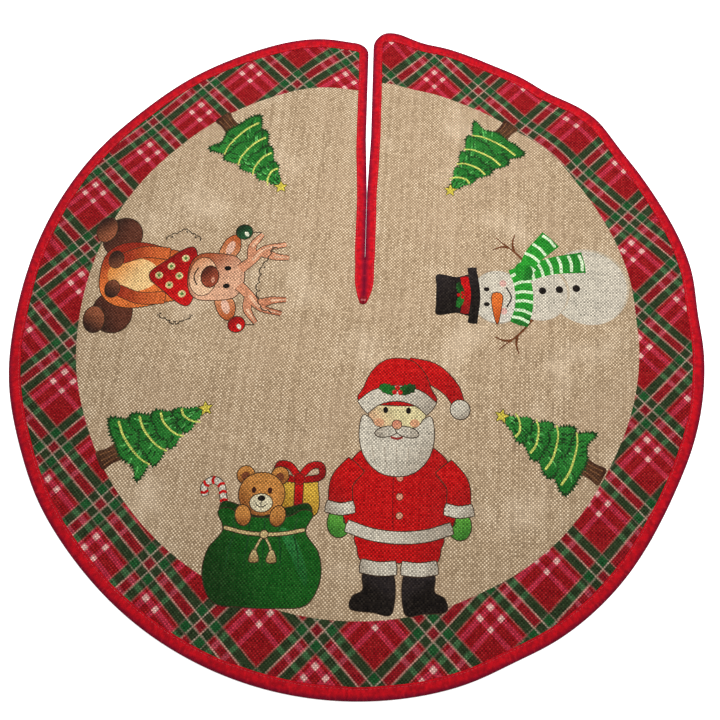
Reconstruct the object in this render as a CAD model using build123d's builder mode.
from build123d import *

import math
import os

# Round tree skirt of printed linen, bound all round with a folded tape, slit from rim to centre.
#
# The skirt lies flat. The origin is on the floor under the centre of the circle, +Z is up and the
# slit runs from the centre towards +Y. The cloth beside the slit folds up along two lines that meet
# at the slit's inner end, which is how a skirt is opened to go round a trunk. So the linen, the tape
# and its threads are each made in the main share, which stays down, and in a left and a right flap.

# Driving dimensions, in millimetres and degrees
SKIRT_RADIUS = 300.0
LINEN_THICKNESS = 1.0
TAPE_LEG = 0.6  # thickness of one leg of the folded tape
RIM_TAPE_WIDTH = 10.0  # on each face of the linen, round the rim
SLIT_TAPE_WIDTH = 9.0  # on each face of the linen, along the slit
CUT_EDGE_CLEARANCE = 0.3  # from the linen's cut edge to the inside of the tape's fold

SLIT_WIDTH = 5.6  # between the two taped edges where the slit stands open
SLIT_OPEN_FROM = 185.0  # from the centre: the slit keeps that width from here out to the rim
SLIT_NARROW_WIDTH = 1.2  # between the two taped edges where they lie side by side
SLIT_NARROW_FROM = 125.0  # from the centre: the slit keeps that width from here in to its end
SLIT_END = 20.5  # from the centre to the inner end of the slit
MOUTH_RADIUS = 13.0  # rounded corner where the slit meets the rim

TAPE_PAST_SLIT = 4.5  # from the slit's end in to the tip of the tape
TAPE_TIP_WIDTH = 7.0
TAPE_TAPER = 26.0  # the two tapes draw together over this length, to the tip

FOLD_ANGLE = 54.0  # from the slit to each flap's fold line
SLIT_END_TO_FOLD = 3.5  # from the slit's end out to where the two fold lines meet
FOLD_GAP = 0.4  # between two solids that meet at a fold line

THREAD_WIDTH = 0.6
THREAD_DEPTH = 0.3
THREAD_CLEARANCE = 0.05  # from a thread to the side of its groove
SEAM_INSET = 1.5  # from the tape's inner edge to the middle of the seam

TACK_STITCHES = 5
TACK_PITCH = 0.8
TACK_STITCH_LENGTH = 1.6
TACK_STITCH_WIDTH = 0.5
TACK_TO_SLIT = 0.5  # from the slit's end to the bar tack

# Worked out from those
LINEN_TOP = TAPE_LEG + LINEN_THICKNESS
TAPE_TOP = LINEN_TOP + TAPE_LEG
TAPE_TIP = SLIT_END - TAPE_PAST_SLIT
FOLD_START = SLIT_END + SLIT_END_TO_FOLD
TACK_Y = SLIT_END - TACK_TO_SLIT - TACK_STITCH_LENGTH / 2
BEYOND_RIM = 2 * SKIRT_RADIUS  # past the rim in every direction
NEAR_TIP = FOLD_START + SLIT_TAPE_WIDTH  # half the side of a square that holds the tape's tip


def slit_disc(radius, side_width, taper, corner_radius):
    """A disc with the slit cut out of it, side_width wider on each side, its mouth corners rounded.

    taper is the slit's inner end: the points that its right side passes, on the way in.
    """
    half_open = SLIT_WIDTH / 2 + side_width
    half_narrow = SLIT_NARROW_WIDTH / 2 + side_width
    corner_x = half_open + corner_radius
    corner_y = math.sqrt((radius - corner_radius) ** 2 - corner_x**2)
    corner_angle = math.degrees(math.atan2(corner_y, corner_x))
    right = [(half_open, corner_y), (half_open, SLIT_OPEN_FROM), (half_narrow, SLIT_NARROW_FROM), *taper]
    with BuildSketch() as disc:
        with BuildLine():
            Polyline(*right, *[(-x, y) for x, y in reversed(right)])
            CenterArc((corner_x, corner_y), corner_radius, corner_angle, 180 - corner_angle)
            CenterArc((-corner_x, corner_y), corner_radius, 0, 180 - corner_angle)
            CenterArc((0, 0), radius, 180 - corner_angle, 180 + 2 * corner_angle)
        make_face()
    return disc


# The plan of the whole skirt, before it is shared out
outline = slit_disc(  # the outside of the tape's fold
    SKIRT_RADIUS,
    0,
    [(SLIT_NARROW_WIDTH / 2, SLIT_END)],
    MOUTH_RADIUS,
)
field = slit_disc(  # the linen that shows inside the tape
    SKIRT_RADIUS - RIM_TAPE_WIDTH,
    SLIT_TAPE_WIDTH,
    [(SLIT_NARROW_WIDTH / 2 + SLIT_TAPE_WIDTH, TAPE_TIP + TAPE_TAPER), (TAPE_TIP_WIDTH / 2, TAPE_TIP)],
    MOUTH_RADIUS - SLIT_TAPE_WIDTH,
)

with BuildSketch() as pocket:  # the space between the tape's two legs
    add(outline.sketch)
    offset(amount=-TAPE_LEG)

with BuildSketch() as cut_linen:
    add(outline.sketch)
    offset(amount=-TAPE_LEG - CUT_EDGE_CLEARANCE)


def seam_band(half_width):
    """A band along the whole seam, which runs inside the tape's inner edge."""
    with BuildSketch() as band:
        add(field.sketch)
        offset(amount=SEAM_INSET + half_width)
        with BuildSketch(mode=Mode.PRIVATE) as inside:
            add(field.sketch)
            offset(amount=SEAM_INSET - half_width)
        add(inside.sketch, mode=Mode.SUBTRACT)
    return band.sketch


def tack_marks(clearance):
    """The bar tack's stitches, side by side across the tip of the tape."""
    with BuildSketch() as marks:
        with Locations((0, TACK_Y)):
            with GridLocations(TACK_PITCH, 0, TACK_STITCHES, 1):
                Rectangle(TACK_STITCH_WIDTH + 2 * clearance, TACK_STITCH_LENGTH + 2 * clearance)
    return marks.sketch


# How the plan is shared out: the fold lines run from (0, FOLD_START), at FOLD_ANGLE to the slit
FOLD_SLOPE = 1 / math.tan(math.radians(FOLD_ANGLE))
HALF_GAP_IN_Y = FOLD_GAP / 2 / math.sin(math.radians(FOLD_ANGLE))
LINE_END_Y = FOLD_START + BEYOND_RIM * FOLD_SLOPE


def flap_share(side):
    """What lies between the slit and one fold line: side is -1 on the left and 1 on the right."""
    start_y = FOLD_START + HALF_GAP_IN_Y
    with BuildSketch() as share:
        with BuildLine():
            Polyline(
                (0, start_y),
                (side * BEYOND_RIM, LINE_END_Y + HALF_GAP_IN_Y),
                (0, LINE_END_Y + BEYOND_RIM),
                close=True,
            )
        make_face()
    return share.sketch


with BuildSketch() as main_share:
    with BuildLine():
        Polyline(
            (0, FOLD_START - HALF_GAP_IN_Y),
            (BEYOND_RIM, LINE_END_Y - HALF_GAP_IN_Y),
            (BEYOND_RIM, -BEYOND_RIM),
            (-BEYOND_RIM, -BEYOND_RIM),
            (-BEYOND_RIM, LINE_END_Y - HALF_GAP_IN_Y),
            close=True,
        )
    make_face()

with BuildSketch() as main_rim_share:
    add(main_share.sketch)
    Rectangle(2 * NEAR_TIP, 2 * NEAR_TIP, mode=Mode.SUBTRACT)

with BuildSketch() as slit_end_share:
    add(main_share.sketch)
    Rectangle(2 * NEAR_TIP, 2 * NEAR_TIP, mode=Mode.INTERSECT)


def write(part, name):
    """Labels a finished piece and writes its STEP file."""
    part.label = name
    export_step(part, f"parts/{name}.step")
    print(name, "solids", len(part.solids()), "volume", round(part.volume, 2))


def make_linen(name, share):
    """The printed linen of one share."""
    with BuildPart() as linen:
        with BuildSketch(Plane.XY.offset(TAPE_LEG)):
            add(cut_linen.sketch)
            add(share, mode=Mode.INTERSECT)
        extrude(amount=LINEN_THICKNESS)
    write(linen.part, name)


def make_tape(name, share, tacked=False):
    """The tape of one share, folded round the linen's cut edge, grooved for what is sewn into it."""
    with BuildPart() as tape:
        with BuildSketch():
            add(outline.sketch)
            add(field.sketch, mode=Mode.SUBTRACT)
            add(share, mode=Mode.INTERSECT)
        extrude(amount=TAPE_TOP)
        with BuildSketch(Plane.XY.offset(TAPE_LEG)):
            add(pocket.sketch)
        extrude(amount=LINEN_THICKNESS, mode=Mode.SUBTRACT)
        for level in (0, TAPE_TOP - THREAD_DEPTH):
            with BuildSketch(Plane.XY.offset(level)):
                add(seam_band(THREAD_WIDTH / 2 + THREAD_CLEARANCE))
            extrude(amount=THREAD_DEPTH, mode=Mode.SUBTRACT)
        if tacked:
            with BuildSketch(Plane.XY.offset(TAPE_TOP - THREAD_DEPTH)):
                add(tack_marks(THREAD_CLEARANCE))
            extrude(amount=THREAD_DEPTH, mode=Mode.SUBTRACT)
    write(tape.part, name)


def make_thread(name, share, level):
    """One of the seam's two threads, drawn down flush with the tape."""
    with BuildPart() as thread:
        with BuildSketch(Plane.XY.offset(level)):
            add(seam_band(THREAD_WIDTH / 2))
            add(share, mode=Mode.INTERSECT)
        extrude(amount=THREAD_DEPTH)
    write(thread.part, name)


os.makedirs("parts", exist_ok=True)

left_share = flap_share(-1)
right_share = flap_share(1)

make_linen("printed_linen_main", main_share.sketch)
make_linen("printed_linen_left_flap", left_share)
make_linen("printed_linen_right_flap", right_share)

taped_shares = {
    "main": main_rim_share.sketch,
    "left_flap": left_share,
    "right_flap": right_share,
    "slit_end": slit_end_share.sketch,
}
for place, share in taped_shares.items():
    make_tape(f"binding_tape_{place}", share, tacked=place == "slit_end")
    make_thread(f"needle_thread_{place}", share, TAPE_TOP - THREAD_DEPTH)
    make_thread(f"bobbin_thread_{place}", share, 0)

with BuildPart() as slit_end_tack:
    with BuildSketch(Plane.XY.offset(TAPE_TOP - THREAD_DEPTH)):
        add(tack_marks(0))
    extrude(amount=THREAD_DEPTH)
write(slit_end_tack.part, "slit_end_tack")
